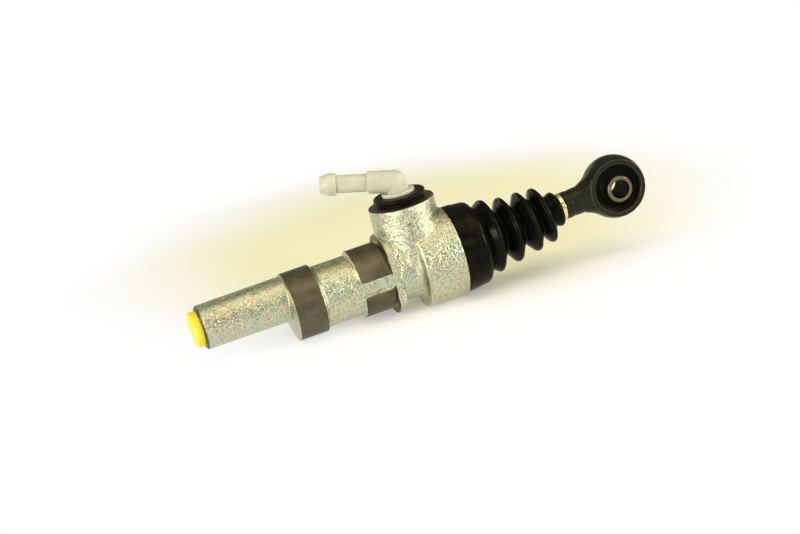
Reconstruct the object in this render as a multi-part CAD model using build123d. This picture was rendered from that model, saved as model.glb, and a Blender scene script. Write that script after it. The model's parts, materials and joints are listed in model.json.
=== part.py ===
from build123d import *
from math import atan2, cos, degrees, hypot, radians, sin, sqrt, tan
import os

os.makedirs("parts", exist_ok=True)

# Clutch master cylinder, in millimetres.
# X runs along the bore towards the pedal, Z along the reservoir boss, Y across.
# The origin is the centre of the mounting flange's front face.

# Bore and stroke
bore_r = 9.525                # three quarter inch bore
stroke = 24.0
bore_front_x = -40.5          # blind end of the bore
piston_clearance = 0.06       # piston to bore, on the radius
cup_clearance = 0.03          # seal lip to bore, on the radius
seat_clearance = 0.02         # pieces that sit still in one another, on the radius
turn_clearance = 0.05         # pieces that turn in one another, on the radius
stop_gap = 0.05               # faces that rest on one another across a moving joint
past = 1.0                    # how far a cutting tool runs past the face that it cuts

# Front barrel with the outlet port, set off from the bore
barrel_end_x = -83.4
barrel_end_r = 9.75
barrel_root_r = 9.95
barrel_offset_z = 4.45
barrel_end_bevel = 0.7
outlet_hole_r = 2.0
port_r = 5.5                  # minor radius of the M12 x 1 thread
port_depth = 13.0
port_mouth_bevel = 0.5

# Pipe seat pressed into the bottom of the port
seat_r = 4.5
seat_sunk = 3.0
seat_nose = 2.0
seat_tip_r = 2.3
seat_hole_r = 1.3

# Transit plug
plug_r = 7.8
plug_thick = 3.7
plug_stem = 8.0
plug_stem_bevel = 1.0
plug_stem_gap = 0.1
plug_edge_round = 0.7

# Turned lands that locate the body
land_r = 15.0
front_land_x = -44.5
front_land_length = 12.7
front_land_flank = 2.7        # sloping cast shoulder on the outlet side
front_land_root_r = 4.8
rear_flank = 1.4              # sloping cast shoulder on the pedal side
cast_round = 0.8

# Middle barrel and the split rear land
middle_r = 13.6
rear_land_length = 13.1
rear_land_groove = 1.2        # relief groove beside the flange
rear_land_lead = 1.0
side_strip = 6.5              # width of the cast strip left between the land's two halves
pad_corner = 2.8

# Mounting flange
flange_r = 18.0
flange_thick = 3.3
flange_flat = 13.7            # half width across the flange's two flats
flange_edge = 0.5
flange_undercut = 0.3         # relief in the flange's face around the rear land
flange_undercut_over = 0.2    # how far the relief reaches beyond the land's radius

# Waist, rear cylinder and the neck that carries the boot
waist_r = 13.8
waist_root_round = 1.0
rear_r = 20.0
rear_front_x = 13.3
rear_end_x = 31.5
rear_fillet = 4.4
rear_front_round = 1.5
rear_edge = 0.4
boot_seat_r = 17.2
boot_seat_length = 9.5
boot_groove_x = 4.6           # from the rear cylinder's end
boot_groove = 2.2
boot_groove_depth = 0.9
nose_r = 11.8
nose_length = 7.5
nose_bevel = 0.5

# Rounded web between the flange and the boss
web_round = 3.0
web_rim = 1.0                 # how far the flange's rim stands above the web

# Reservoir boss
boss_x = 15.2
boss_top_z = 28.3
boss_top_r = 14.5
boss_draft = 1.3              # degrees
boss_foot_z = 3.0
boss_foot_drop = 6.0
boss_foot_r = 13.4
boss_edge = 0.3
pocket_r = 8.5
pocket_floor_z = 14.0
relief_port_r = 0.4
relief_port_lead = 0.2        # opens this far ahead of the cup at rest
supply_port_r = 1.2

# Reservoir grommet
grommet_bottom_z = 18.0
grommet_neck_r = 10.6
grommet_neck = 1.9
grommet_ring_r = 11.4
grommet_ring = 1.9
grommet_ring_round = 0.8
grommet_neck_round = 0.4
grommet_lead = 0.6
grommet_lead_height = 1.2

# Hose elbow
elbow_stem_r = 5.0
elbow_barb_r = 5.7
elbow_barb = 1.5
elbow_stem_end = 0.5          # below the barb
elbow_stem_lead = 0.4
elbow_disc_round = 0.5
elbow_collar_round = 0.6
elbow_disc_r = 7.2
elbow_disc = 1.4
elbow_axis_z = 37.6
elbow_body_r = 4.9
elbow_body_reach = 11.8
elbow_arm_r = 3.9
elbow_bead_x = 25.3           # along the arm, from the boss axis
elbow_bead_r = 4.85
elbow_bead_land = 3.4
elbow_tip_r = 3.6
elbow_reach = 32.3
elbow_bore_r = 2.6
elbow_yaw = 17.0              # degrees, away from the bore's line
elbow_rise = 12.0             # degrees above level

# Piston, along X at rest
piston_rear_x = 45.0
head_x = 13.0                 # rear face of the cup and its washer
head_land = 1.2
piston_waist_r = 7.4
rear_piston_land = 6.2
feed_holes = 6
feed_hole_r = 0.5
feed_hole_ring_r = 7.7
piston_edge = 0.3
nose_pin_r = 4.0
nose_pin_length = 8.0

# Cups, washer and spring retainer
cup_length = 4.4
cup_washer_thick = 0.4
cup_washer_gap = 0.25
cup_hollow = 1.1              # how deep the cup is hollowed behind the retainer
cup_hollow_r = 7.6
cup_lip_r = 7.8
cup_heel = 0.5                # how far the cup's heel draws in from its lip
retainer_disc = 1.0
retainer_disc_r = 8.0
retainer_hub = 2.6
retainer_hub_r = 5.3
retainer_hub_bevel = 0.6
rear_cup_length = 2.8
rear_cup_inset = 1.6          # from the rear land's front edge
rear_cup_root_r = 7.4
rear_cup_hollow = 1.2
rear_cup_hollow_r = 8.3
rear_cup_hollow_width = 0.8
rear_cup_heel = 0.3

# Return spring
spring_wire_r = 0.75
spring_mean_r = 6.5
spring_turns = 8.5
spring_end_gap = 0.05

# Stop washer and circlip
stop_washer_thick = 1.0
stop_washer_hole_r = 7.5
circlip_thick = 1.0
circlip_groove_r = 10.4
circlip_groove_play = 0.05    # each side, along the bore
circlip_ring = 2.2            # radial width
circlip_gap = 6.0
circlip_lug_r = 1.7
circlip_lug_hole_r = 0.8

# Pushrod, measured from the centre of its ball
ball_x = 30.0                 # ball centre along the bore
eye_x = 110.2                 # eye centre along the bore
eye_rise = 3.25               # eye centre above the bore axis as it lies
ball_r = 5.0
ball_neck_r = 3.0
ball_neck_end = 7.0
rod_r = 4.0
rod_taper = 2.0
rod_collar = 1.5
rod_collar_r = 4.8
rod_in_end = 10.0             # length held in the rod end
rod_end_bevel = 1.0
socket_mouth_r = 5.15
socket_lip = 1.5              # straight part beyond the ball's centre
keeper_start = 3.7            # ball keeper, from the ball's centre
keeper_length = 2.0
keeper_hole_r = 3.6

# Ring on the rod that the boot's cuff grips
ring_sleeve_r = 5.3
ring_sleeve = 3.9
ring_flange_r = 6.05
ring_flange = 1.85
ring_play = 0.1
ring_edge = 0.25

# Rod end
neck_r = 6.05
neck_blend_r = 14.0
flare_half_width = 5.0        # the flare's sides, drawn in at the eye
flare_crown = 20.0            # half height of the ellipse that crowns those sides
flare_lead = 0.5              # the sides begin to draw in this far ahead of the flare
eye_r = 14.1
eye_half_width = 6.0
eye_bevel = 0.5
bush_r = 10.5
groove_count = 2
groove_pitch = 3.85
groove_start = 3.9            # from the rod end's face
groove_r = 3.6                # radius of the groove's round section
groove_depth = 0.18

# Bush and inner sleeve
bush_half_width = 5.3
bush_dish = 1.1
bush_hub = 1.2                # width of the flat ring beside the sleeve
bush_rim = 1.4                # width of the flank beside the eye
sleeve_r = 5.8
sleeve_bore_r = 4.25
sleeve_half_length = 8.2
sleeve_bevel = 0.4

# Boot: a band and shoulder on the body, then the bellows along the rod
boot_band_r = 19.3
boot_band = 5.1
boot_line = 0.25
boot_band_edge = 0.4
boot_shoulder_round = 2.5
boot_shoulder_r = 19.05
boot_shoulder_end_r = 18.5
boot_shoulder = 11.1          # from the rear cylinder's end
boot_first_valley_x = 14.4    # from the rear cylinder's end
boot_first_valley_r = 14.1
boot_wall = 1.2
bellows_crests = [(19.6, 15.7), (28.4, 14.8), (37.6, 13.75), (45.0, 13.1)]
bellows_valleys = [(24.0, 9.6), (32.9, 8.9), (41.6, 8.8), (49.1, 7.3)]
crest_round = 1.5
valley_round = 0.7
flank_angle = 59.0            # degrees from the rod's line
cuff_r = 7.85
cuff_start = 50.6
cuff_length = 2.5
cuff_edge = 1.1
cuff_gap = 0.15

# Places worked out from the sizes above
front_land_end_x = front_land_x + front_land_length
rear_land_end_x = -rear_land_groove
rear_land_x = rear_land_end_x - rear_land_length
port_end_x = barrel_end_x + port_depth
boot_seat_end_x = rear_end_x + boot_seat_length
nose_end_x = boot_seat_end_x + nose_length
grommet_top_z = boss_top_z + grommet_neck + grommet_ring
piston_r = bore_r - piston_clearance
cup_r = bore_r - cup_clearance
cup_rear_x = head_x - cup_washer_thick
cup_front_x = cup_rear_x - cup_length
retainer_x = cup_front_x - retainer_disc
nose_pin_x = head_x - nose_pin_length
waist_start_x = head_x + head_land
rear_cup_x = piston_rear_x - rear_piston_land + rear_cup_inset
relief_port_x = cup_front_x - relief_port_r - relief_port_lead
supply_port_x = waist_start_x + supply_port_r / 2
stop_washer_x = piston_rear_x + stop_gap
circlip_x = stop_washer_x + stop_washer_thick
tilt = degrees(atan2(eye_rise, eye_x - ball_x))
eye_s = hypot(eye_x - ball_x, eye_rise)


def turned(points, rounds=()):
    """A solid turned about the X axis from an outline of (x, radius) points.

    rounds lists ((x, radius), fillet radius) for the corners that are rounded.
    """
    face = make_face(Polyline(*points, close=True))
    for corner, radius in rounds:
        vertex = face.vertices().sort_by_distance(Vector(*corner))[0]
        face = fillet(vertex, radius)
    return revolve(Plane.XZ * face, Axis.X, 360)


def turned_upright(points, rounds=(), x=boss_x):
    """A solid turned about a vertical axis at x from (radius, z) points."""
    face = make_face(Polyline(*points, close=True))
    for corner, radius in rounds:
        vertex = face.vertices().sort_by_distance(Vector(*corner))[0]
        face = fillet(vertex, radius)
    return Pos(x, 0, 0) * revolve(Plane.XZ * face, Axis.Z, 360)


def rod(x_start, x_end, radius, z=0.0):
    """A round bar along X from x_start to x_end."""
    length = x_end - x_start
    return Pos((x_start + x_end) / 2, 0, z) * Rot(0, 90, 0) * Cylinder(radius, length)


def along_rod(shape):
    """Moves a solid made about X from the ball's centre onto the tilted pushrod."""
    return Pos(ball_x, 0, 0) * Rot(0, -tilt, 0) * shape


def boss_r(z):
    """The boss's radius at a height, with its draft."""
    return boss_top_r + (boss_top_z - z) * tan(radians(boss_draft))


def body_casting():
    """The cast body: barrels, lands, flange, rear cylinder, boss and all its bores."""
    body = turned(
        [
            (front_land_x - front_land_flank, 0),
            (front_land_x - front_land_flank, front_land_root_r),
            (front_land_x, land_r),
            (front_land_end_x, land_r),
            (front_land_end_x + rear_flank, middle_r),
            (flange_undercut, middle_r),
            (flange_undercut, land_r + flange_undercut_over),
            (0, land_r + flange_undercut_over),
            (0, flange_r),
            (flange_thick, flange_r),
            (flange_thick, waist_r),
            (rear_front_x, waist_r),
            (rear_front_x, rear_r),
            (rear_end_x, rear_r),
            (rear_end_x, boot_seat_r),
            (rear_end_x + boot_groove_x, boot_seat_r),
            (rear_end_x + boot_groove_x, boot_seat_r - boot_groove_depth),
            (rear_end_x + boot_groove_x + boot_groove, boot_seat_r - boot_groove_depth),
            (rear_end_x + boot_groove_x + boot_groove, boot_seat_r),
            (boot_seat_end_x, boot_seat_r),
            (boot_seat_end_x, nose_r),
            (nose_end_x - nose_bevel, nose_r),
            (nose_end_x, nose_r - nose_bevel),
            (nose_end_x, 0),
        ],
        [
            ((front_land_end_x + rear_flank, middle_r), cast_round),
            ((0, flange_r), flange_edge),
            ((flange_thick, flange_r), flange_edge),
            ((flange_thick, waist_r), waist_root_round),
            ((rear_front_x, waist_r), rear_fillet),
            ((rear_front_x, rear_r), rear_front_round),
            ((rear_end_x, rear_r), rear_edge),
        ],
    )

    # Flats on the flange, level with the cast strips beside the rear land
    flat_depth = flange_r
    for side in (-1, 1):
        flat_y = side * (flange_flat + flat_depth / 2)
        body -= Pos(flange_thick / 2, flat_y, 0) * Box(flange_thick, flat_depth, 2 * flange_r)

    # Rear land in two halves
    land = turned(
        [
            (rear_land_x - rear_land_lead, middle_r - past),
            (rear_land_x - rear_land_lead, middle_r),
            (rear_land_x, land_r),
            (rear_land_end_x, land_r),
            (rear_land_end_x, middle_r - past),
        ]
    )
    strip_length = 2 * (rear_land_length + rear_land_lead)
    land -= Pos(rear_land_x, 0, 0) * Box(strip_length, 3 * land_r, side_strip)
    body += rounded_pads(land)

    # Front barrel, set off towards the boss
    barrel = turned(
        [
            (barrel_end_x, 0),
            (barrel_end_x, barrel_end_r - barrel_end_bevel),
            (barrel_end_x + barrel_end_bevel, barrel_end_r),
            (front_land_x, barrel_root_r),
            (front_land_x, 0),
        ]
    )
    body += Pos(0, 0, barrel_offset_z) * barrel

    # Reservoir boss, tapered for the mould and drawn in at its foot
    boss = turned_upright(
        [
            (0, boss_foot_z - boss_foot_drop),
            (boss_foot_r, boss_foot_z - boss_foot_drop),
            (boss_r(boss_foot_z), boss_foot_z),
            (boss_top_r, boss_top_z),
            (0, boss_top_z),
        ],
        [((boss_top_r, boss_top_z), boss_edge)],
    )
    body += boss
    body += flange_web()

    # Bore, circlip groove and mouth
    body -= rod(bore_front_x, nose_end_x + past, bore_r)
    groove_start_x = circlip_x - circlip_groove_play
    groove_end_x = circlip_x + circlip_thick + circlip_groove_play
    body -= rod(groove_start_x, groove_end_x, circlip_groove_r)

    # Outlet passage, pipe seat pocket and port
    body -= rod(port_end_x, bore_front_x + past, outlet_hole_r, barrel_offset_z)
    body -= rod(port_end_x, port_end_x + seat_sunk, seat_r, barrel_offset_z)
    port = turned(
        [
            (barrel_end_x - past, 0),
            (barrel_end_x - past, port_r + port_mouth_bevel + past),
            (barrel_end_x + port_mouth_bevel, port_r),
            (port_end_x, port_r),
            (port_end_x, 0),
        ]
    )
    body -= Pos(0, 0, barrel_offset_z) * port

    # Grommet pocket with the relief and supply ports in its floor
    pocket_height = boss_top_z + past - pocket_floor_z
    body -= Pos(boss_x, 0, pocket_floor_z + pocket_height / 2) * Cylinder(pocket_r, pocket_height)
    port_height = pocket_floor_z - bore_r + 2 * past
    port_z = (pocket_floor_z + bore_r) / 2
    body -= Pos(relief_port_x, 0, port_z) * Cylinder(relief_port_r, port_height)
    body -= Pos(supply_port_x, 0, port_z) * Cylinder(supply_port_r, port_height)
    return body


def flange_web():
    """Metal between the flange and the boss, hollowed to a soft round on each side."""
    wall_r = boss_r(flange_r / 2)
    centre_x = flange_thick + web_round
    centre_y = sqrt((wall_r + web_round) ** 2 - (boss_x - centre_x) ** 2)
    start_x = flange_thick / 2
    touch_x = boss_x - (boss_x - centre_x) * wall_r / (wall_r + web_round)
    length = touch_x - start_x
    web = rod(start_x, touch_x, flange_r - web_rim)
    web &= Pos(start_x + length / 2, 0, flange_r / 2) * Box(length, 2 * flange_flat, flange_r)
    for side in (-1, 1):
        web -= Pos(centre_x, side * centre_y, flange_r / 2) * Cylinder(web_round, 2 * flange_r)
    return web


def rounded_pads(land):
    """Rounds the outlet side corners of the rear land's two halves, as they are cast."""
    start_x = rear_land_x - rear_land_lead
    for side in (-1, 1):
        edge_z = side * side_strip / 2
        corner = Pos(start_x + pad_corner / 2, 0, edge_z + side * pad_corner / 2) * Box(
            pad_corner, 3 * land_r, pad_corner
        )
        centre = Pos(start_x + pad_corner, 0, edge_z + side * pad_corner)
        corner -= centre * Rot(90, 0, 0) * Cylinder(pad_corner, 3 * land_r)
        land -= corner
    return land


def tube_seat():
    """Conical pipe seat pressed into the bottom of the port."""
    seat = turned(
        [
            (port_end_x - seat_nose, seat_hole_r),
            (port_end_x - seat_nose, seat_tip_r),
            (port_end_x, seat_r - seat_clearance),
            (port_end_x + seat_sunk, seat_r - seat_clearance),
            (port_end_x + seat_sunk, seat_hole_r),
        ]
    )
    return Pos(0, 0, barrel_offset_z) * seat


def outlet_plug():
    """Push-in transit plug with a thick round head."""
    head_x_start = barrel_end_x - plug_thick
    stem_r = port_r - plug_stem_gap
    plug = turned(
        [
            (head_x_start, 0),
            (head_x_start, plug_r),
            (barrel_end_x, plug_r),
            (barrel_end_x, stem_r),
            (barrel_end_x + plug_stem - plug_stem_bevel, stem_r),
            (barrel_end_x + plug_stem, stem_r - plug_stem_bevel),
            (barrel_end_x + plug_stem, 0),
        ],
        [
            ((head_x_start, plug_r), plug_edge_round),
            ((barrel_end_x, plug_r), plug_edge_round / 2),
        ],
    )
    return Pos(0, 0, barrel_offset_z) * plug


def reservoir_grommet():
    """Rubber grommet: a plug in the boss pocket with a neck and a ring above it."""
    neck_top_z = boss_top_z + grommet_neck
    hole_r = elbow_stem_r + turn_clearance
    return turned_upright(
        [
            (hole_r, grommet_bottom_z),
            (pocket_r - seat_clearance - grommet_lead, grommet_bottom_z),
            (pocket_r - seat_clearance, grommet_bottom_z + grommet_lead_height),
            (pocket_r - seat_clearance, boss_top_z),
            (grommet_neck_r, boss_top_z),
            (grommet_neck_r, neck_top_z),
            (grommet_ring_r, neck_top_z),
            (grommet_ring_r, grommet_top_z),
            (hole_r, grommet_top_z),
        ],
        [
            ((grommet_neck_r, neck_top_z), grommet_neck_round),
            ((grommet_ring_r, neck_top_z), grommet_neck_round),
            ((grommet_ring_r, grommet_top_z), grommet_ring_round),
        ],
    )


def elbow_connector():
    """Moulded hose elbow: barbed stem, disc, rounded corner and beaded arm."""
    disc_z = grommet_top_z + stop_gap
    barb_top_z = grommet_bottom_z - stop_gap
    barb_z = barb_top_z - elbow_barb
    stem_end_z = barb_z - elbow_stem_end
    upright = turned_upright(
        [
            (0, stem_end_z),
            (elbow_stem_r - elbow_stem_lead, stem_end_z),
            (elbow_stem_r, barb_z),
            (elbow_barb_r, barb_top_z),
            (elbow_stem_r, barb_top_z),
            (elbow_stem_r, disc_z),
            (elbow_disc_r, disc_z),
            (elbow_disc_r, disc_z + elbow_disc),
            (elbow_body_r, disc_z + elbow_disc),
            (elbow_body_r, elbow_axis_z),
            (0, elbow_axis_z),
        ],
        [((elbow_disc_r, disc_z + elbow_disc), elbow_disc_round)],
        x=0,
    )
    corner = Pos(0, 0, elbow_axis_z) * Sphere(elbow_body_r)
    arm = turned(
        [
            (0, 0),
            (0, elbow_body_r),
            (elbow_body_reach, elbow_body_r),
            (elbow_body_reach, elbow_arm_r),
            (elbow_bead_x, elbow_arm_r),
            (elbow_bead_x, elbow_bead_r),
            (elbow_bead_x + elbow_bead_land, elbow_bead_r),
            (elbow_reach, elbow_tip_r),
            (elbow_reach, 0),
        ],
        [((elbow_body_reach, elbow_body_r), elbow_collar_round)],
    )
    arm_turn = Pos(0, 0, elbow_axis_z) * Rot(0, 0, 180 - elbow_yaw) * Rot(0, -elbow_rise, 0)
    bore = arm_turn * rod(0, elbow_reach + past, elbow_bore_r)
    bore += Pos(0, 0, elbow_axis_z) * Sphere(elbow_bore_r)
    drop = elbow_axis_z - stem_end_z + past
    bore += Pos(0, 0, elbow_axis_z - drop / 2) * Cylinder(elbow_bore_r, drop)
    return Pos(boss_x, 0, 0) * (upright + corner + arm_turn * arm - bore)


def piston():
    """Piston with its nose pin, fed head, long waist, cup groove and ball socket."""
    rear_land_start = piston_rear_x - rear_piston_land
    blank = turned(
        [
            (nose_pin_x, 0),
            (nose_pin_x, nose_pin_r - piston_edge),
            (nose_pin_x + piston_edge, nose_pin_r),
            (head_x, nose_pin_r),
            (head_x, piston_r),
            (waist_start_x, piston_r),
            (waist_start_x, piston_waist_r),
            (rear_land_start, piston_waist_r),
            (rear_land_start, piston_r),
            (rear_cup_x, piston_r),
            (rear_cup_x, rear_cup_root_r),
            (rear_cup_x + rear_cup_length, rear_cup_root_r),
            (rear_cup_x + rear_cup_length, piston_r),
            (piston_rear_x - piston_edge, piston_r),
            (piston_rear_x, piston_r - piston_edge),
            (piston_rear_x, 0),
        ]
    )
    for index in range(feed_holes):
        hole = Pos(0, feed_hole_ring_r, 0) * rod(head_x - past, waist_start_x + past, feed_hole_r)
        blank -= Rot(index * 360 / feed_holes, 0, 0) * hole
    socket_r = ball_r + turn_clearance
    socket = Pos(ball_x, 0, 0) * Sphere(socket_r)
    socket += rod(ball_x, ball_x + socket_lip, socket_r)
    socket += rod(ball_x + socket_lip, piston_rear_x + past, socket_mouth_r)
    return blank - socket


def primary_cup():
    """Rubber cup in front of the piston head, hollowed towards the outlet."""
    hole_r = nose_pin_r + seat_clearance
    return turned(
        [
            (cup_front_x + cup_hollow, hole_r),
            (cup_front_x + cup_hollow, cup_hollow_r),
            (cup_front_x, cup_lip_r),
            (cup_front_x, cup_r),
            (cup_rear_x, cup_r - cup_heel),
            (cup_rear_x, hole_r),
        ]
    )


def cup_washer():
    """Thin washer between the primary cup and the piston's feed holes."""
    return rod(cup_rear_x, head_x, piston_r - cup_washer_gap) - rod(
        cup_rear_x - past, head_x + past, nose_pin_r + seat_clearance
    )


def spring_retainer():
    """Pressed retainer on the nose pin: the spring's seat and centring hub."""
    hole_r = nose_pin_r + seat_clearance
    return turned(
        [
            (retainer_x - retainer_hub, hole_r),
            (retainer_x - retainer_hub, retainer_hub_r - retainer_hub_bevel),
            (retainer_x - retainer_hub + retainer_hub_bevel, retainer_hub_r),
            (retainer_x, retainer_hub_r),
            (retainer_x, retainer_disc_r),
            (cup_front_x, retainer_disc_r),
            (cup_front_x, hole_r),
        ]
    )


def secondary_cup():
    """Seal in the piston's rear groove."""
    start = rear_cup_x + seat_clearance
    end = rear_cup_x + rear_cup_length - seat_clearance
    root_r = rear_cup_root_r + seat_clearance
    return turned(
        [
            (start, root_r),
            (start, rear_cup_hollow_r - rear_cup_hollow_width / 2),
            (start + rear_cup_hollow, rear_cup_hollow_r),
            (start, rear_cup_hollow_r + rear_cup_hollow_width / 2),
            (start, cup_r),
            (end, cup_r - rear_cup_heel),
            (end, root_r),
        ]
    )


def ball_keeper():
    """Ring pressed into the piston behind the pushrod's ball."""
    start = ball_x + keeper_start
    end = start + keeper_length
    return turned(
        [
            (start, keeper_hole_r),
            (start, socket_mouth_r - seat_clearance),
            (end, socket_mouth_r - seat_clearance),
            (end, keeper_hole_r),
        ]
    )


def return_spring():
    """Coil spring from the blind end of the bore to the spring retainer."""
    inset = spring_wire_r + spring_end_gap
    start_x = bore_front_x + inset
    length = retainer_x - inset - start_x
    path = Helix(pitch=length / spring_turns, height=length, radius=spring_mean_r)
    section = Plane(origin=path @ 0, z_dir=path % 0) * Circle(spring_wire_r)
    coil = sweep(section, path=path, is_frenet=True)
    return Pos(start_x, 0, 0) * Rot(0, 90, 0) * coil


def stop_washer():
    """Washer that the piston comes back against."""
    end_x = stop_washer_x + stop_washer_thick
    return rod(stop_washer_x, end_x, piston_r) - rod(
        stop_washer_x - past, end_x + past, stop_washer_hole_r
    )


def circlip():
    """Internal circlip with two lugs beside its gap."""
    ring_r = circlip_groove_r - seat_clearance
    lug_offset = circlip_gap / 2 + circlip_lug_r
    lug_y = sqrt((ring_r - circlip_ring / 2 - circlip_lug_r / 2) ** 2 - lug_offset**2)
    ring = Circle(ring_r) - Circle(ring_r - circlip_ring)
    ring -= Pos(0, ring_r) * Rectangle(circlip_gap, 2 * ring_r)
    for side in (-1, 1):
        ring += Pos(side * lug_offset, lug_y) * Circle(circlip_lug_r)
    for side in (-1, 1):
        ring -= Pos(side * lug_offset, lug_y) * Circle(circlip_lug_hole_r)
    plate = extrude(ring, circlip_thick)
    return Pos(circlip_x, 0, 0) * Rot(0, 90, 0) * plate


def boot_ring():
    """Plated ring on the rod: a sleeve under the boot's cuff and a small flange."""
    end = rod_end_face_s() - ring_play
    flange_start = end - ring_flange
    start = flange_start - ring_sleeve
    hole_r = rod_r + turn_clearance
    return along_rod(
        turned(
            [
                (start, hole_r),
                (start, ring_sleeve_r),
                (flange_start, ring_sleeve_r),
                (flange_start, ring_flange_r),
                (end, ring_flange_r),
                (end, hole_r),
            ],
            [((flange_start, ring_flange_r), ring_edge), ((end, ring_flange_r), ring_edge)],
        )
    )


def cuff_end_s():
    """Where the boot's cuff ends, along the rod from the ball's centre."""
    return cuff_start + cuff_length


def rod_end_face_s():
    """Where the rod end begins, along the rod from the ball's centre."""
    return cuff_end_s() + ring_flange + 2 * ring_play


def pushrod():
    """Steel pushrod: ball, neck, shank, collar and the length held in the rod end."""
    collar_end = rod_end_face_s() - ring_flange - ring_sleeve - 2 * ring_play
    collar_start = collar_end - rod_collar
    end = rod_end_face_s() + rod_in_end
    shank = turned(
        [
            (0, 0),
            (0, ball_neck_r),
            (ball_neck_end, ball_neck_r),
            (ball_neck_end + rod_taper, rod_r),
            (collar_start, rod_r),
            (collar_start, rod_collar_r),
            (collar_end, rod_collar_r),
            (collar_end, rod_r),
            (end - rod_end_bevel, rod_r),
            (end, rod_r - rod_end_bevel),
            (end, 0),
        ]
    )
    return along_rod(shank + Sphere(ball_r))


def rod_end():
    """Rod end: grooved neck that flares into a ball-shaped eye."""
    face = rod_end_face_s()
    # The flare is an arc that touches the neck and the ball
    blend_s = eye_s - sqrt((eye_r + neck_blend_r) ** 2 - (neck_r + neck_blend_r) ** 2)
    share = eye_r / (eye_r + neck_blend_r)
    touch_s = eye_s + (blend_s - eye_s) * share
    touch_r = (neck_r + neck_blend_r) * share
    half_turn = atan2(touch_s - blend_s, neck_r + neck_blend_r - touch_r) / 2
    arc_middle = (
        blend_s + neck_blend_r * sin(half_turn),
        neck_r + neck_blend_r - neck_blend_r * cos(half_turn),
    )
    outline = ThreePointArc((blend_s, neck_r), arc_middle, (touch_s, touch_r))
    outline += Polyline((touch_s, touch_r), (touch_s, 0), (blend_s, 0), (blend_s, neck_r))
    flare = revolve(Plane.XZ * make_face(outline), Axis.X, 360)
    # Its sides draw in towards the eye, so that the eye's rims stand proud
    sides = loft(
        [
            Plane.YZ.offset(blend_s - flare_lead) * Ellipse(neck_r, flare_crown),
            Plane.YZ.offset(eye_s) * Ellipse(flare_half_width, flare_crown),
        ]
    )
    neck = rod(face, blend_s, neck_r) + (flare & sides)
    for index in range(groove_count):
        groove_s = face + groove_start + index * groove_pitch
        past_blend = max(groove_s - blend_s, 0)
        surface_r = neck_r + neck_blend_r - sqrt(neck_blend_r**2 - past_blend**2)
        ring_centre_r = surface_r + groove_r - groove_depth
        ring = Plane.XZ * (Pos(groove_s, ring_centre_r) * Circle(groove_r))
        neck -= revolve(ring, Axis.X, 360)
    eye = Sphere(eye_r)
    for side in (-1, 1):
        eye -= Pos(0, side * (eye_half_width + eye_r / 2), 0) * Box(3 * eye_r, eye_r, 3 * eye_r)
    solid = neck + Pos(eye_s, 0, 0) * eye
    bush_hole = turned_across(
        [
            (-eye_half_width - past, 0),
            (-eye_half_width - past, bush_r + eye_bevel + past),
            (-eye_half_width + eye_bevel, bush_r),
            (eye_half_width - eye_bevel, bush_r),
            (eye_half_width + past, bush_r + eye_bevel + past),
            (eye_half_width + past, 0),
        ]
    )
    solid -= bush_hole
    solid -= rod(face - past, face + rod_in_end, rod_r + seat_clearance)
    return along_rod(solid)


def turned_across(points):
    """A solid turned about the eye's cross axis from (y, radius) points."""
    return Pos(eye_s, 0, 0) * Rot(0, 0, 90) * turned(points)


def rubber_bush():
    """Rubber bush between the eye and the inner sleeve, dished on both faces."""
    return along_rod(
        turned_across(
            [
                (-bush_half_width, sleeve_r + turn_clearance),
                (-bush_half_width, sleeve_r + bush_hub),
                (-bush_half_width + bush_dish, sleeve_r + 2 * bush_hub),
                (-bush_half_width + bush_dish, bush_r - bush_rim),
                (-bush_half_width + bush_dish / 2, bush_r - seat_clearance),
                (bush_half_width - bush_dish / 2, bush_r - seat_clearance),
                (bush_half_width - bush_dish, bush_r - bush_rim),
                (bush_half_width - bush_dish, sleeve_r + 2 * bush_hub),
                (bush_half_width, sleeve_r + bush_hub),
                (bush_half_width, sleeve_r + turn_clearance),
            ]
        )
    )


def inner_sleeve():
    """Steel sleeve that the pedal pin passes through."""
    return along_rod(
        turned_across(
            [
                (-sleeve_half_length, sleeve_bore_r),
                (-sleeve_half_length, sleeve_r - sleeve_bevel),
                (-sleeve_half_length + sleeve_bevel, sleeve_r),
                (sleeve_half_length - sleeve_bevel, sleeve_r),
                (sleeve_half_length, sleeve_r - sleeve_bevel),
                (sleeve_half_length, sleeve_bore_r),
            ]
        )
    )


def bellows(inward, crest_r, valley_r, start_s, start_r):
    """A turned solid inside the bellows' outline, drawn in by inward.

    The straight flanks meet at points beyond each crest and valley, and are
    rounded there, so the crest and valley radii come out as stated.
    """
    half_angle = radians(90 - flank_angle)
    overshoot = 1 / sin(half_angle) - 1
    shift = inward / cos(radians(flank_angle))
    points = [(start_s, start_r)]
    for crest, valley in zip(bellows_crests, bellows_valleys):
        points.append((crest[0], crest[1] + overshoot * crest_round - shift))
        points.append((valley[0], valley[1] - overshoot * valley_round - shift))
    radii = [crest_r, valley_r] * len(bellows_crests)
    return points, radii


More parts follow.
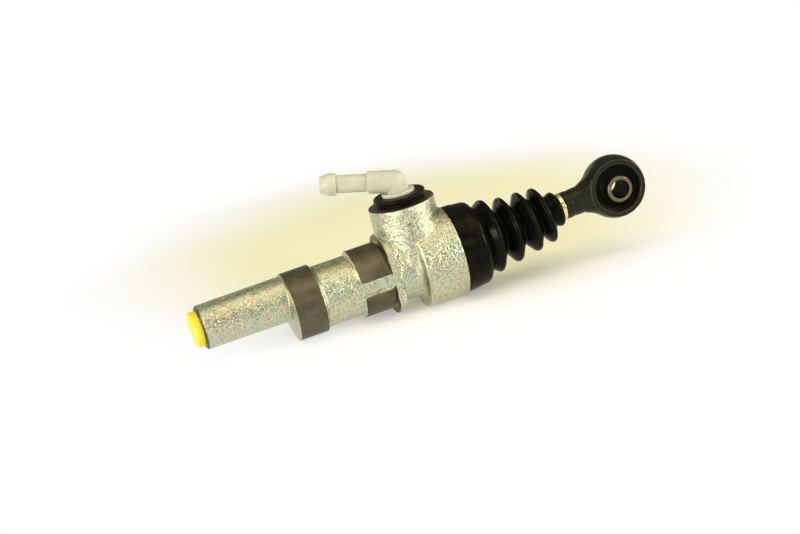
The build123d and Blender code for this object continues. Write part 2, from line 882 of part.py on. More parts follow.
def boot():
    """Rubber boot: a band and shoulder on the body, and bellows along the rod."""
    seat_x = rear_end_x
    line_x = seat_x + boot_band
    valley_x = seat_x + boot_first_valley_x
    shoulder_x = seat_x + boot_shoulder
    groove_x = rear_end_x + boot_groove_x
    inner_seat_r = boot_seat_r + seat_clearance
    bead_r = boot_seat_r - boot_groove_depth + seat_clearance
    outer_band = turned(
        [
            (seat_x, 0),
            (seat_x, boot_band_r),
            (line_x, boot_band_r),
            (line_x + boot_line, boot_shoulder_r - boot_line),
            (line_x + 2 * boot_line, boot_shoulder_r),
            (shoulder_x, boot_shoulder_end_r),
            (valley_x, boot_first_valley_r),
            (valley_x, 0),
        ],
        [((seat_x, boot_band_r), boot_band_edge), ((shoulder_x, boot_shoulder_end_r), boot_shoulder_round)],
    )
    inner_band = turned(
        [
            (seat_x - past, 0),
            (seat_x - past, inner_seat_r),
            (groove_x + seat_clearance, inner_seat_r),
            (groove_x + seat_clearance, bead_r),
            (groove_x + boot_groove - seat_clearance, bead_r),
            (groove_x + boot_groove - seat_clearance, inner_seat_r),
            (shoulder_x - boot_wall, inner_seat_r),
            (valley_x - boot_wall / 2, boot_first_valley_r - boot_wall),
            (valley_x + boot_wall, boot_first_valley_r - boot_wall),
            (valley_x + boot_wall, 0),
        ]
    )
    start_s = boot_seat_end_x - ball_x
    valley_s = valley_x - ball_x
    outer_points, outer_radii = bellows(0, crest_round, valley_round, valley_s, boot_first_valley_r)
    inner_points, inner_radii = bellows(
        boot_wall, crest_round - boot_wall, valley_round + boot_wall, valley_s, boot_first_valley_r - boot_wall
    )
    end = cuff_end_s()
    outer_line = FilletPolyline(*outer_points, (cuff_start, cuff_r), radius=outer_radii)
    outer_rest = Polyline(
        (cuff_start, cuff_r),
        (end - cuff_edge, cuff_r),
        (end, cuff_r - cuff_edge),
        (end, 0),
        (start_s, 0),
        (start_s, boot_first_valley_r - boot_wall / 2),
        outer_points[0],
    )
    hollow_r = ring_sleeve_r + cuff_gap
    inner_line = FilletPolyline(*inner_points[:-1], (bellows_valleys[-1][0], hollow_r), radius=inner_radii[:-1])
    inner_rest = Polyline(
        (bellows_valleys[-1][0], hollow_r),
        (end + past, hollow_r),
        (end + past, 0),
        (start_s, 0),
        (start_s, boot_first_valley_r - 2 * boot_wall),
        inner_points[0],
    )
    outer = revolve(Plane.XZ * make_face(outer_line + outer_rest), Axis.X, 360)
    inner = revolve(Plane.XZ * make_face(inner_line + inner_rest), Axis.X, 360)
    return outer_band + along_rod(outer) - inner_band - along_rod(inner)


nodes = {
    "body_casting": body_casting,
    "tube_seat": tube_seat,
    "outlet_plug": outlet_plug,
    "reservoir_grommet": reservoir_grommet,
    "elbow_connector": elbow_connector,
    "piston": piston,
    "primary_cup": primary_cup,
    "cup_washer": cup_washer,
    "spring_retainer": spring_retainer,
    "secondary_cup": secondary_cup,
    "ball_keeper": ball_keeper,
    "return_spring": return_spring,
    "stop_washer": stop_washer,
    "circlip": circlip,
    "boot": boot,
    "boot_ring": boot_ring,
    "pushrod": pushrod,
    "rod_end": rod_end,
    "rubber_bush": rubber_bush,
    "inner_sleeve": inner_sleeve,
}
for name, make in nodes.items():
    export_step(make(), f"parts/{name}.step")
print(f"pushrod tilt {tilt:.2f} degrees, eye centre {eye_s:.2f} mm from the ball's centre")
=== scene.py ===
import json
from math import atan2, cos, hypot, pi, radians, sin, tan

import bmesh
import bpy
from mathutils import Matrix, Vector


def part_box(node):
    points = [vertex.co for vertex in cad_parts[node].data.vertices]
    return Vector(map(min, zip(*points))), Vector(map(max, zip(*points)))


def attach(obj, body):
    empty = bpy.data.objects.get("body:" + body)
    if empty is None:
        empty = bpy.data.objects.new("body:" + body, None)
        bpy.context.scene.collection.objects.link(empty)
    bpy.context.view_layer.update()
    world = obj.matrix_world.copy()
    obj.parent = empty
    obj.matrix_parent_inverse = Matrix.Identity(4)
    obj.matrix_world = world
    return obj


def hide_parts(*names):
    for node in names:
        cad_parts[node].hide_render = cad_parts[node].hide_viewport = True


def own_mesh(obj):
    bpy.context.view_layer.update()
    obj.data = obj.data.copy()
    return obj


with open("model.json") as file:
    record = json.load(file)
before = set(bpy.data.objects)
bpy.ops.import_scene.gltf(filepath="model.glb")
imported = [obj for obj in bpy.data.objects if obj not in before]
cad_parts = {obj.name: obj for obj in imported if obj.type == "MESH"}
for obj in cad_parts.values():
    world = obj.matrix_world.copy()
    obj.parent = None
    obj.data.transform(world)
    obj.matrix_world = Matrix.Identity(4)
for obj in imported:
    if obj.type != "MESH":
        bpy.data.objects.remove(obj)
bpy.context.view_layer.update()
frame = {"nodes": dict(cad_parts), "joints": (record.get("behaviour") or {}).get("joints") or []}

MM = 0.001

# Places that the model's own boxes and joints give, in metres
joints = {joint["name"]: joint for joint in frame["joints"]}
boot_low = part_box("boot")[0]
ball = Vector(joints["pushrod_rock"]["pos_m"])
rod_line = Vector(joints["pushrod_spin"]["axis"]).normalized()
eye = Vector(joints["sleeve_twist"]["pos_m"])
row_origin = Vector((0, 0, 0))
bore_line = Vector((1, 0, 0))

# Camera, as the photograph was taken
camera_azimuth = radians(-13.05)
camera_elevation = radians(16.07)
camera_roll = radians(-15.70)
camera_distance = 0.956
# How far the rear rim lies to the right of the photograph's middle and above it, in metres
camera_centre = (0.023069, 0.007422)
camera_lens = 99.0
camera_sensor = 36.0
rear_rim_x = 0.032

# The surface that the body lies on: it touches the front land and the rear cylinder
floor_touch_front = Vector((-0.0445, 0.0, -0.0150))
floor_touch_rear = Vector((0.0141, 0.0, -0.0200))
floor_size = 6.0
paper_cream = (0.97, 0.925, 0.68)
paper_white = (0.97, 0.96, 0.92)
# The cream oval on it, in millimetres. Where it starts to fade and how ragged it is are shares of its reach
oval_centre = (35, 125, 0)
oval_reach = (180, 210, 100)
oval_fade_start = 0.4
oval_raggedness = 0.3

# Lamps: name, place, width and height, power in watts, colour
lamps = [
    ("over", (0.12, -0.55, 1.3), (1.7, 1.0), 9.8, (1.0, 0.88, 0.72)),
    ("left", (-0.88, -0.70, 0.24), (0.30, 0.46), 7.4, (0.95, 1.0, 0.90)),
    ("right", (0.90, -0.68, 0.24), (0.30, 0.46), 7.8, (0.95, 1.0, 0.90)),
    ("far left", (-1.1, -0.04, 0.44), (0.5, 0.3), 4.0, (0.95, 1.0, 0.88)),
    ("far right", (1.1, -0.06, 0.40), (0.5, 0.3), 2.5, (0.95, 1.0, 0.88)),
    ("glint", (0.28, -1.0, 0.42), (0.2, 0.15), 0.7, (1.0, 0.95, 0.86)),
    ("behind", (0.0, 0.4, 1.2), (1.2, 0.8), 1.2, (0.97, 1.0, 0.80)),
    ("far wall", (-0.5, 1.25, 0.42), (1.5, 0.4), 2.4, (1.0, 1.0, 0.70)),
]
lamp_target = (0.02, 0, 0)
world_color = (0.97, 0.95, 0.72, 1)
world_strength = 0.2

# Sockets of the mix node that take and give colours
mix_share = 0
mix_first = 6
mix_second = 7
mix_result = 2
bevel_samples = 6

# Edges sharper than this stay sharp in the pieces made here
smooth_angle = radians(38.0)


def camera_axes():
    """The camera's right, up and back directions in the row frame."""
    right = Vector((cos(camera_azimuth), sin(camera_azimuth), 0))
    back = Vector(
        (
            sin(camera_azimuth) * cos(camera_elevation),
            -cos(camera_azimuth) * cos(camera_elevation),
            sin(camera_elevation),
        )
    )
    up = back.cross(right)
    turned_right = right * cos(camera_roll) + up * sin(camera_roll)
    turned_up = up * cos(camera_roll) - right * sin(camera_roll)
    return turned_right, turned_up, back


def make_camera():
    """The camera at the photograph's viewing angle."""
    right, up, back = camera_axes()
    place = Vector((rear_rim_x, 0, 0)) - right * camera_centre[0] - up * camera_centre[1]
    place += back * camera_distance
    data = bpy.data.cameras.new("camera")
    data.lens = camera_lens
    data.sensor_width = camera_sensor
    data.clip_start = 0.01
    data.clip_end = 20
    camera = bpy.data.objects.new("camera", data)
    turn = Matrix((right, up, back)).transposed().to_4x4()
    camera.matrix_world = Matrix.Translation(place) @ turn
    bpy.context.scene.collection.objects.link(camera)
    bpy.context.scene.camera = camera


class Paint:
    """A procedural material being built: its nodes, its links and its shader."""

    def __init__(self, name):
        self.material = bpy.data.materials.new(name)
        self.material.use_nodes = True
        self.tree = self.material.node_tree
        self.shader = self.tree.nodes["Principled BSDF"]
        coordinates = self.node("ShaderNodeTexCoord")
        scale = self.node("ShaderNodeVectorMath", operation="SCALE")
        scale.inputs["Scale"].default_value = 1 / MM
        self.link(coordinates.outputs["Object"], scale.inputs[0])
        # Positions in millimetres, so that texture scales read as counts per millimetre
        self.place = scale.outputs[0]

    def node(self, kind, **settings):
        """A new node with its settings."""
        made = self.tree.nodes.new(kind)
        for name, value in settings.items():
            setattr(made, name, value)
        return made

    def link(self, source, target):
        """Links an output to an input."""
        self.tree.links.new(source, target)

    def fill(self, value, socket):
        """Gives an input a number, a colour or another node's output."""
        if isinstance(value, (tuple, list)):
            socket.default_value = (*value, 1)
        elif isinstance(value, (int, float)):
            socket.default_value = value
        else:
            self.link(value, socket)

    def set(self, **values):
        """Sets values on the shader's own sockets."""
        for name, value in values.items():
            self.shader.inputs[name.replace("_", " ")].default_value = value

    def noise(self, per_mm, detail=2.0, roughness=0.5, place=None):
        """A noise value from 0 to 1, with so many waves in a millimetre."""
        made = self.node("ShaderNodeTexNoise")
        made.inputs["Scale"].default_value = per_mm
        made.inputs["Detail"].default_value = detail
        made.inputs["Roughness"].default_value = roughness
        self.link(place or self.place, made.inputs["Vector"])
        return made.outputs[0]

    def stretched(self, x, y, z):
        """The place in millimetres, scaled along each axis."""
        made = self.node("ShaderNodeMapping")
        made.inputs["Scale"].default_value = (x, y, z)
        self.link(self.place, made.inputs["Vector"])
        return made.outputs[0]

    def ramp(self, value, stops):
        """A colour ramp from (position, colour or grey) stops."""
        made = self.node("ShaderNodeValToRGB")
        ramp = made.color_ramp
        while len(ramp.elements) < len(stops):
            ramp.elements.new(1.0)
        for element, (position, color) in zip(ramp.elements, stops):
            grey = isinstance(color, (int, float))
            element.position = position
            element.color = (color, color, color, 1) if grey else (*color, 1)
        self.link(value, made.inputs["Fac"])
        return made.outputs["Color"]

    def mix(self, share, first, second, blend="MIX"):
        """Mixes two colours by a share from 0 to 1."""
        made = self.node("ShaderNodeMix", data_type="RGBA", blend_type=blend)
        self.fill(share, made.inputs[mix_share])
        self.fill(first, made.inputs[mix_first])
        self.fill(second, made.inputs[mix_second])
        return made.outputs[mix_result]

    def math(self, operation, first, second):
        """The result of a sum on two values."""
        made = self.node("ShaderNodeMath", operation=operation)
        self.fill(first, made.inputs[0])
        self.fill(second, made.inputs[1])
        return made.outputs[0]

    def bevel(self, width_mm):
        """The surface's direction, with edges rounded over a width."""
        made = self.node("ShaderNodeBevel", samples=bevel_samples)
        made.inputs["Radius"].default_value = width_mm * MM
        return made.outputs[0]

    def edges(self, width_mm):
        """A share from 0 on plain faces to 1 along the piece's edges."""
        geometry = self.node("ShaderNodeNewGeometry")
        dot = self.node("ShaderNodeVectorMath", operation="DOT_PRODUCT")
        self.link(self.bevel(width_mm), dot.inputs[0])
        self.link(geometry.outputs["Normal"], dot.inputs[1])
        return self.ramp(self.math("SUBTRACT", 1.0, dot.outputs["Value"]), [(0.01, 0.0), (0.10, 1.0)])

    def color(self, value):
        """Links a colour to the shader."""
        self.link(value, self.shader.inputs["Base Color"])

    def roughness(self, value, low, high):
        """Roughness that runs from low to high with a value from 0 to 1."""
        made = self.node("ShaderNodeMapRange")
        made.inputs["To Min"].default_value = low
        made.inputs["To Max"].default_value = high
        self.link(value, made.inputs["Value"])
        self.link(made.outputs[0], self.shader.inputs["Roughness"])

    def relief(self, heights, edge_mm=0.0):
        """Bump from (height value, depth in mm) pairs, over edges softened by edge_mm."""
        normal = self.bevel(edge_mm) if edge_mm else None
        for value, depth_mm in heights:
            bump = self.node("ShaderNodeBump")
            bump.inputs["Strength"].default_value = 1.0
            bump.inputs["Distance"].default_value = depth_mm * MM
            self.link(value, bump.inputs["Height"])
            if normal is not None:
                self.link(normal, bump.inputs["Normal"])
            normal = bump.outputs[0]
        self.link(normal, self.shader.inputs["Normal"])


def plated_casting():
    """Sand-cast iron under bright zinc: coarse glittering grain with faint passivation tints."""
    paint = Paint("plated_casting")
    paint.set(Metallic=1.0)
    tint = paint.ramp(
        paint.noise(0.12, 2, 0.5),
        [
            (0.30, (0.60, 0.65, 0.47)),
            (0.48, (0.64, 0.65, 0.45)),
            (0.62, (0.69, 0.62, 0.43)),
            (0.76, (0.61, 0.66, 0.49)),
        ],
    )
    pits = paint.ramp(paint.noise(1.9, 2, 0.6), [(0.36, 0.46), (0.53, 1.0)])
    paint.color(paint.mix(1.0, tint, pits, blend="MULTIPLY"))
    paint.roughness(paint.noise(0.8, 2), 0.16, 0.3)
    lumps = paint.noise(0.16, 2)
    grain = paint.noise(2.1, 2, 0.5)
    ripples = paint.noise(0.8, 1)
    paint.relief([(lumps, 0.5), (grain, 0.24), (ripples, 0.06)], edge_mm=0.9)
    return paint.material


def machined_iron():
    """Bare turned iron: dark brown-grey with fine turning marks around the bore's line."""
    paint = Paint("machined_iron")
    paint.set(Metallic=0.85)
    stops = [(0.3, (0.088, 0.071, 0.042)), (0.7, (0.158, 0.132, 0.088))]
    paint.color(paint.ramp(paint.noise(0.12, 4, 0.65), stops))
    paint.roughness(paint.noise(0.5, 3), 0.34, 0.5)
    marks = paint.noise(1.0, 2, 0.6, place=paint.stretched(7.0, 0.05, 0.05))
    paint.relief([(marks, 0.02)], edge_mm=0.2)
    return paint.material


def turned_metal(name, color, low=0.22, high=0.4):
    """Bright turned or drawn metal with fine marks."""
    paint = Paint(name)
    paint.set(Metallic=1.0)
    darker = tuple(0.72 * c for c in color)
    paint.color(paint.ramp(paint.noise(0.25, 4, 0.6), [(0.3, darker), (0.7, color)]))
    paint.roughness(paint.noise(0.8, 3), low, high)
    paint.relief([(paint.noise(2.4, 2), 0.01)], edge_mm=0.15)
    return paint.material


def black_rubber(name, bloom, low, high, grain_mm=0.02, ior=1.2):
    """Black moulded rubber with a faint bloom that gathers unevenly."""
    paint = Paint(name)
    paint.set(IOR=ior, Specular_Tint=(1.0, 0.95, 0.76, 1.0))
    patches = paint.ramp(paint.noise(0.16, 4, 0.65), [(0.45, 0.0), (0.8, 1.0)])
    share = paint.math("MULTIPLY", patches, paint.noise(2.0, 2, 0.6))
    paint.color(paint.mix(share, (0.002, 0.002, 0.001), bloom))
    paint.roughness(paint.noise(0.4, 3), low, high)
    paint.relief([(paint.noise(1.4, 3, 0.6), grain_mm)])
    return paint.material


def black_forging(name, edge_mm, edge_highlight):
    """Forged steel under satin black paint, with a painted highlight: a lighter colour along the edges."""
    paint = Paint(name)
    paint.set(IOR=1.3, Specular_Tint=(1.0, 0.97, 0.80, 1.0))
    stops = [(0.3, (0.006, 0.006, 0.003)), (0.75, (0.013, 0.012, 0.007))]
    black = paint.ramp(paint.noise(0.2, 4, 0.6), stops)
    # Painted highlight: the edges take the lighter colour
    paint.color(paint.mix(paint.edges(edge_mm), black, edge_highlight))
    paint.roughness(paint.noise(0.5, 3), 0.24, 0.34)
    paint.relief([(paint.noise(0.3, 2), 0.03)], edge_mm=edge_mm)
    return paint.material


def yellow_zinc():
    """Yellow passivated zinc with a faint change of hue."""
    paint = Paint("yellow_zinc")
    paint.set(Metallic=1.0)
    stops = [(0.3, (0.86, 0.66, 0.22)), (0.5, (0.92, 0.80, 0.42)), (0.7, (0.80, 0.62, 0.36))]
    paint.color(paint.ramp(paint.noise(0.5, 3, 0.6), stops))
    paint.roughness(paint.noise(1.2, 2), 0.18, 0.32)
    paint.relief([(paint.noise(2.5, 2), 0.01)], edge_mm=0.1)
    return paint.material


def yellow_cap():
    """Moulded yellow plastic with a soft gloss."""
    paint = Paint("yellow_cap")
    paint.set(Subsurface_Weight=0.25, Subsurface_Radius=(0.8, 0.5, 0.1), Subsurface_Scale=0.002)
    stops = [(0.3, (0.88, 0.67, 0.03)), (0.7, (0.89, 0.70, 0.034))]
    paint.color(paint.ramp(paint.noise(0.15, 2), stops))
    paint.roughness(paint.noise(0.8, 2), 0.36, 0.46)
    paint.relief([(paint.noise(0.2, 1), 0.01)], edge_mm=0.4)
    return paint.material


def milky_nylon():
    """Unfilled nylon: off-white, clouded, with light passing into it."""
    paint = Paint("milky_nylon")
    paint.set(Subsurface_Weight=0.85, Subsurface_Radius=(1.0, 0.9, 0.7), Subsurface_Scale=0.003)
    paint.set(Specular_IOR_Level=0.4)
    stops = [(0.3, (0.50, 0.485, 0.405)), (0.7, (0.58, 0.565, 0.475))]
    paint.color(paint.ramp(paint.noise(0.18, 3), stops))
    paint.roughness(paint.noise(0.7, 2), 0.34, 0.48)
    paint.relief([(paint.noise(0.9, 2), 0.012)], edge_mm=0.3)
    return paint.material


def paper_floor():
    """Pale paper: cream in an oval around the object, white further out."""
    paint = Paint("paper_floor")
    paint.set(Roughness=0.9, Specular_IOR_Level=0.1)
    oval = paint.node("ShaderNodeMapping", vector_type="TEXTURE")
    oval.inputs["Location"].default_value = oval_centre
    oval.inputs["Scale"].default_value = oval_reach
    paint.link(paint.place, oval.inputs["Vector"])
    distance = paint.node("ShaderNodeVectorMath", operation="LENGTH")
    paint.link(oval.outputs[0], distance.inputs[0])
    wander = paint.math("SUBTRACT", paint.noise(0.008, 2), 0.5)
    ragged = paint.math("MULTIPLY", wander, oval_raggedness)
    fade = paint.node("ShaderNodeMapRange", interpolation_type="SMOOTHSTEP")
    fade.inputs["From Min"].default_value = oval_fade_start
    fade.inputs["From Max"].default_value = 1.0
    paint.link(paint.math("ADD", distance.outputs["Value"], ragged), fade.inputs["Value"])
    faint = paint.math("MULTIPLY", paint.noise(0.05, 3), 0.08)
    paint.color(paint.mix(paint.math("ADD", fade.outputs[0], faint), paper_cream, paper_white))
    # Seen straight on, in gloss or through glass, the far paper is plain white
    path = paint.node("ShaderNodeLightPath")
    seen = paint.math("MAXIMUM", path.outputs["Is Camera Ray"], path.outputs["Is Glossy Ray"])
    seen = paint.math("MAXIMUM", seen, path.outputs["Is Transmission Ray"])
    white_light = paint.node("ShaderNodeEmission")
    white_light.inputs["Color"].default_value = (1, 1, 1, 1)
    blend = paint.node("ShaderNodeMixShader")
    paint.link(paint.math("MULTIPLY", seen, fade.outputs[0]), blend.inputs[0])
    paint.link(paint.shader.outputs[0], blend.inputs[1])
    paint.link(white_light.outputs[0], blend.inputs[2])
    paint.link(blend.outputs[0], paint.tree.nodes["Material Output"].inputs["Surface"])
    return paint.material


def make_floor():
    """A plain pale floor under the body, sloping as the surface in the photograph does."""
    mesh = bpy.data.meshes.new("floor")
    half = floor_size / 2
    corners = [(-half, -half, 0), (half, -half, 0), (half, half, 0), (-half, half, 0)]
    mesh.from_pydata(corners, [], [(0, 1, 2, 3)])
    floor = bpy.data.objects.new("floor", mesh)
    run = floor_touch_rear - floor_touch_front
    slope = atan2(-run.z, run.x)
    floor.matrix_world = Matrix.Translation(floor_touch_rear) @ Matrix.Rotation(slope, 4, "Y")
    bpy.context.scene.collection.objects.link(floor)
    mesh.materials.append(paper_floor())


def make_lamp(name, place, size, power, color):
    """A soft rectangular lamp that faces the object."""
    data = bpy.data.lights.new(name, "AREA")
    data.shape = "RECTANGLE"
    data.size, data.size_y = size
    data.energy = power
    data.color = color
    lamp = bpy.data.objects.new(name, data)
    turn = (Vector(lamp_target) - Vector(place)).to_track_quat("-Z", "Y")
    lamp.matrix_world = Matrix.Translation(place) @ turn.to_matrix().to_4x4()
    bpy.context.scene.collection.objects.link(lamp)


def make_lights():
    """Soft studio light: lamps over, beside and behind the object, and a small one for glints."""
    for lamp in lamps:
        make_lamp(*lamp)
    world = bpy.data.worlds.new("studio")
    world.use_nodes = True
    background = world.node_tree.nodes["Background"]
    background.inputs["Color"].default_value = world_color
    background.inputs["Strength"].default_value = world_strength
    bpy.context.scene.world = world


def fillet_line(points, radii, steps=6):
    """A line of 2D points with each inner corner rounded by its radius."""
    side_share = 0.98
    no_radius = 1e-9
    line = [points[0]]
    for before, corner, after, radius in zip(points, points[1:], points[2:], radii):
        corner = Vector(corner)
        to_before = Vector(before) - corner
        to_after = Vector(after) - corner
        half = to_before.angle(to_after) / 2
        back = min(radius / tan(half), to_before.length * side_share, to_after.length * side_share)
        true_radius = back * tan(half)
        if true_radius < no_radius:
            line.append(tuple(corner))
            continue
        to_before.normalize()
        to_after.normalize()
        start = corner + to_before * back
        end = corner + to_after * back
        centre = corner + (to_before + to_after).normalized() * (true_radius / sin(half))
        first = start - centre
        sweep = first.angle_signed(end - centre)
        for index in range(steps + 1):
            angle = -sweep * index / steps
            along = first.x * cos(angle) - first.y * sin(angle)
            across = first.x * sin(angle) + first.y * cos(angle)
            line.append(tuple(centre + Vector((along, across))))
    line.append(points[-1])
    return line


def lathe(name, outline_mm, origin, axis, segments):
    """A closed surface turned about axis through origin from (along, radius) points."""
    side = Vector((0, 1, 0))
    side = (side - axis * side.dot(axis)).normalized()
    other = axis.cross(side)
    build = bmesh.new()
    rings = []
    for index in range(segments):
        turn = 2 * pi * index / segments
        spoke = side * cos(turn) + other * sin(turn)
        rings.append([build.verts.new(origin + axis * (s * MM) + spoke * (r * MM)) for s, r in outline_mm])
    count = len(outline_mm)
    for here, there in zip(rings, rings[1:] + rings[:1]):
        for step in range(count):
            following = (step + 1) % count
            build.faces.new((here[step], there[step], there[following], here[following]))
    bmesh.ops.recalc_face_normals(build, faces=build.faces)
    mesh = bpy.data.meshes.new(name)
    build.to_mesh(mesh)
    build.free()
    piece = bpy.data.objects.new(name, mesh)
    bpy.context.scene.collection.objects.link(piece)
    smooth(mesh)
    return piece


def smooth(mesh):
    """Smooth shading that breaks at sharp edges."""
    mesh.shade_smooth()
    build = bmesh.new()
    build.from_mesh(mesh)
    for edge in build.edges:
        edge.smooth = edge.calc_face_angle(0) < smooth_angle
    build.to_mesh(mesh)
    build.free()


# Boot, in millimetres: x along the bore, s along the rod from the ball's centre, r a radius
boot_start_x = boot_low.x / MM
boot_segments = 160
band_length = 5.1
band_r = 19.3
band_bore_r = 17.25
# The line where the band ends: half its width, and its depth
line_half = 0.25
line_depth = 0.45
shoulder_r = 19.05
shoulder_end_x = boot_start_x + 11.1
shoulder_end_r = 18.5
shoulder_wall = 1.0
first_valley_x = boot_start_x + 14.4
first_valley_r = 14.1
lip_slant = 0.2
wall = 1.2
# The inside of a fold lies this much nearer to the ball than its outside
wall_shift = 0.2
# The folds start with a thin tuck in the shoulder, which slides out a little at full stroke, so that the
# folds stay clear of the body's nose. A collar of the band covers the nose
tuck_length = 2.4
tuck_r = 13.8
collar_end_x = 48.9
collar_r = 12.45
collar_bore_r = 11.9
# Room over the nose for the rod to rock: radius at the ball's centre, growth along the rod, and its end
rocking_r = 11.6
rocking_growth = 0.131
nose_end_s = 18.8
crests = [(20.0, 15.7), (28.5, 14.8), (37.6, 13.75), (45.0, 13.1)]
valleys = [(24.2, 9.6), (33.0, 8.9), (41.5, 8.8), (48.9, 7.1)]
crest_round = 1.35
valley_round = 0.6
flank_angle = radians(59.0)
cuff_segments = 96
cuff_start = 50.6
cuff_start_r = 7.5
cuff_neck_s = valleys[-1][0] - 0.3
cuff_neck_length = 0.7
cuff_neck_r = 7.0
cuff_neck_end_r = 7.1
cuff_crest_start = 51.0
cuff_crest_end = 52.2
cuff_r = 7.85
cuff_end = 53.1
cuff_end_r = 6.9
cuff_bore_r = 5.45
# How the folds lie: place along the rod, lean per unit of height over it, sag
fold_lie = [
    (14.0, 0.0, 0.0),
    (20.0, 0.054, -0.3),
    (28.5, 0.010, -0.7),
    (37.6, -0.055, -0.5),
    (45.0, -0.084, -0.3),
    (51.5, -0.060, 0.0),
]


def lie_at(s):
    """The folds' lean and sag at a place along the rod."""
    if s <= fold_lie[0][0]:
        return fold_lie[0][1:]
    for (before, lean_0, sag_0), (after, lean_1, sag_1) in zip(fold_lie, fold_lie[1:]):
        if s <= after:
            share = (s - before) / (after - before)
            return lean_0 + (lean_1 - lean_0) * share, sag_0 + (sag_1 - sag_0) * share
    return fold_lie[-1][1:]


def let_folds_lie(mesh):
    """Leans and lowers a boot piece's rings as the soft rubber does."""
    up = (Vector((0, 0, 1)) - rod_line * rod_line.z).normalized()
    for vertex in mesh.vertices:
        arm = vertex.co - ball
        lean, sag = lie_at(arm.dot(rod_line) / MM)
        vertex.co += rod_line * (lean * arm.dot(up)) + up * (sag * MM)


def boot_band(rubber):
    """The boot's band and shoulder, which stay on the body, and the collar over the nose."""
    line_x = boot_start_x + band_length
    points_and_radii = [
        ((boot_start_x, band_bore_r), None),
        ((boot_start_x, band_r), 0.35),
        ((line_x - line_half, band_r), 0.12),
        ((line_x, band_r - line_depth), 0.1),
        ((line_x + line_half, shoulder_r), 0.12),
        ((shoulder_end_x, shoulder_end_r), 2.4),
        ((first_valley_x, first_valley_r), 0.5),
        ((first_valley_x + lip_slant, collar_r), 0.2),
        ((collar_end_x, collar_r), 0.15),
        ((collar_end_x, collar_bore_r), 0.15),
        ((first_valley_x - wall, collar_bore_r), 0.2),
        ((shoulder_end_x - shoulder_wall, band_bore_r), 0.6),
        ((boot_start_x, band_bore_r), None),
    ]
    points = [point for point, radius in points_and_radii]
    radii = [radius for point, radius in points_and_radii[1:-1]]
    outline = fillet_line(points, radii)[:-1]
    piece = lathe("boot_band", outline, row_origin, bore_line, boot_segments)
    piece.data.materials.append(rubber)
    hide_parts("boot")
    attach(piece, "housing")


def fold_bore(s, r):
    """Radius of the folds' bore, wide enough over the nose for the rod to rock."""
    return max(r - wall, rocking_r + rocking_growth * s) if s < nose_end_s else r - wall


def boot_bellows(rubber):
    """The boot's folds, which follow the rod."""
    # A rounded crest or valley falls short of its sharp corner by this share of its radius
    overshoot = 1 / cos(flank_angle) - 1
    start_s = (first_valley_x * MM - ball.x) / MM
    points = [(start_s - tuck_length, tuck_r), (start_s, first_valley_r)]
    radii = [valley_round]
    for (crest_s, crest_r), (valley_s, valley_r) in zip(crests, valleys):
        points.append((crest_s, crest_r + overshoot * crest_round))
        points.append((valley_s, valley_r - overshoot * valley_round))
        radii += [crest_round, valley_round]
    points.append((cuff_start, cuff_start_r))
    outer = fillet_line(points, radii, 8)
    inner = [(s - wall_shift, fold_bore(s, r)) for s, r in outer]
    piece = lathe("boot_bellows", outer + inner[::-1], ball, rod_line, boot_segments)
    let_folds_lie(piece.data)
    piece.data.materials.append(rubber)
    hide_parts("boot")
    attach(piece, "rod_carrier")
    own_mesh(piece)


def boot_cuff(rubber):
    """The boot's cuff, a rounded lip that grips the plated ring."""
    points = [
        (cuff_neck_s, cuff_bore_r),
        (cuff_neck_s, cuff_neck_r),
        (cuff_neck_s + cuff_neck_length, cuff_neck_end_r),
        (cuff_crest_start, cuff_r),
        (cuff_crest_end, cuff_r),
        (cuff_end, cuff_end_r),
        (cuff_end, cuff_bore_r),
    ]
    outline = fillet_line(points, [0.1, 0.3, 0.6, 0.6, 0.5])
    piece = lathe("boot_cuff", outline, ball, rod_line, cuff_segments)
    let_folds_lie(piece.data)
    piece.data.materials.append(rubber)
    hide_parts("boot")
    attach(piece, "rod_carrier")


def closing_spring(steel):
    """The return spring as a piece of its own, held by the housing."""
    source = frame["nodes"]["return_spring"]
    piece = bpy.data.objects.new("coil_spring", source.data.copy())
    bpy.context.scene.collection.objects.link(piece)
    piece.data.materials.clear()
    piece.data.materials.append(steel)
    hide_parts("return_spring")
    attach(piece, "housing")
    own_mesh(piece)


# Where the casting is cut rather than cast, in millimetres. The two lands and the relief beside the flange:
# x range and radius range
turned_zones = [
    ((-44.6, -31.7), (14.9, 15.1)),
    ((-14.4, -1.1), (14.9, 15.1)),
    ((-1.3, 0.1), (13.0, 18.1)),
]
turned_reach_y = 15.05
boss_x = 15.2
boss_top_z = 28.2
boss_top_r = 14.4
pocket_floor_z = 9.0
pocket_r = 8.6
bore_front_x = -41.0
bore_r = 10.6
port_inner_x = -38.0
port_z = 4.45
port_r = 6.4
front_face_x = -82.75
rear_face_x = 31.45

# Finishes of the sleeve and the rod end, in millimetres
sleeve_bore_r = 4.25
eye_paint_r = 15.5
face_slack = 0.05


def is_turned(place, normal):
    """Whether a face of the casting is cut rather than cast."""
    x, y, z = (value / MM for value in place)
    radius = hypot(y, z)
    for (low, high), (inner, outer) in turned_zones:
        if low <= x <= high and inner <= radius <= outer and abs(normal.x) < 0.6:
            return abs(y) < turned_reach_y
    boss_radius = hypot(x - boss_x, y)
    port_radius = hypot(y, z - port_z)
    on_flange_face = abs(x) < face_slack and normal.x < -0.9
    on_boss_top = z > boss_top_z and boss_radius < boss_top_r
    in_pocket = z > pocket_floor_z and boss_radius < pocket_r
    in_bore = x > bore_front_x and radius < bore_r
    in_port = x < port_inner_x and port_radius < port_r
    on_an_end = x < front_face_x or x > rear_face_x
    return on_flange_face or on_boss_top or in_pocket or in_bore or in_port or on_an_end


def paint_node(name, *materials):
    """Gives a CAD node its materials in place of the imported ones."""
    node = frame["nodes"][name]
    node.data.materials.clear()
    for material in materials:
        node.data.materials.append(material)
    return node


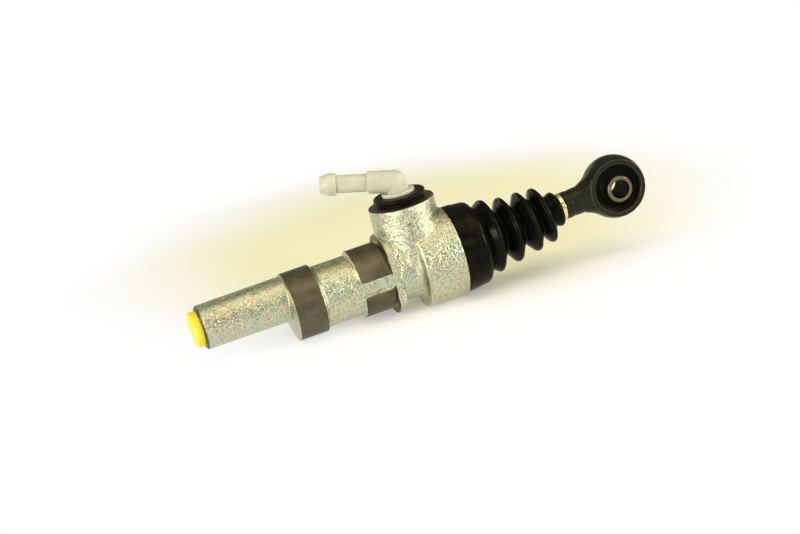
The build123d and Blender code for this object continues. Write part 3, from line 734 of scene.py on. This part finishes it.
def paint_casting(cast, turned):
    """The casting's two finishes, by face."""
    node = paint_node("body_casting", cast, turned)
    for polygon in node.data.polygons:
        polygon.material_index = 1 if is_turned(polygon.center, polygon.normal) else 0


def paint_sleeve(face, bore):
    """The inner sleeve's steel, and its bore in a near-black finish."""
    node = paint_node("inner_sleeve", face, bore)
    for polygon in node.data.polygons:
        arm = (polygon.center - eye) / MM
        inside = hypot(arm.x, arm.z) < sleeve_bore_r + face_slack and abs(polygon.normal.y) < 0.5
        polygon.material_index = 1 if inside else 0


def paint_rod_end(round_eye, neck):
    """The rod end's paint: crisp about the eye with a painted edge highlight, soft over the neck's grooves.
    """
    node = paint_node("rod_end", round_eye, neck)
    for polygon in node.data.polygons:
        far = (polygon.center - eye).length > eye_paint_r * MM
        polygon.material_index = 1 if far else 0


make_camera()
make_floor()
make_lights()

boot_rubber = black_rubber("boot_rubber", (0.016, 0.014, 0.007), 0.18, 0.32, ior=1.18)
seal_rubber = black_rubber("seal_rubber", (0.02, 0.018, 0.012), 0.3, 0.42, grain_mm=0.015)
bush_rubber = black_rubber("bush_rubber", (0.008, 0.008, 0.006), 0.35, 0.5, ior=1.14)
dark_bore = black_rubber("dark_bore", (0.006, 0.005, 0.002), 0.4, 0.55, ior=1.09)
plain_steel = turned_metal("plain_steel", (0.60, 0.60, 0.60))
sleeve_steel = turned_metal("sleeve_steel", (0.20, 0.17, 0.10), 0.3, 0.5)
piston_metal = turned_metal("piston_metal", (0.66, 0.64, 0.58), 0.25)
brass = turned_metal("brass", (0.80, 0.62, 0.30), 0.25)

paint_casting(plated_casting(), machined_iron())
paint_node("outlet_plug", yellow_cap())
paint_node("tube_seat", brass)
paint_node("elbow_connector", milky_nylon())
paint_node("piston", piston_metal)
for name in ("reservoir_grommet", "primary_cup", "secondary_cup"):
    paint_node(name, seal_rubber)
for name in ("cup_washer", "spring_retainer", "ball_keeper", "stop_washer", "circlip", "pushrod"):
    paint_node(name, plain_steel)
paint_node("boot_ring", yellow_zinc())
# The last colour of each paint is its painted highlight along the edges
paint_rod_end(
    black_forging("eye_forging", 0.45, (0.10, 0.097, 0.070)),
    black_forging("neck_forging", 1.2, (0.012, 0.011, 0.007)),
)
paint_node("rubber_bush", bush_rubber)
paint_sleeve(sleeve_steel, dark_bore)
boot_band(boot_rubber)
boot_bellows(boot_rubber)
boot_cuff(boot_rubber)
closing_spring(plain_steel)

bpy.context.scene.view_settings.view_transform = "Standard"
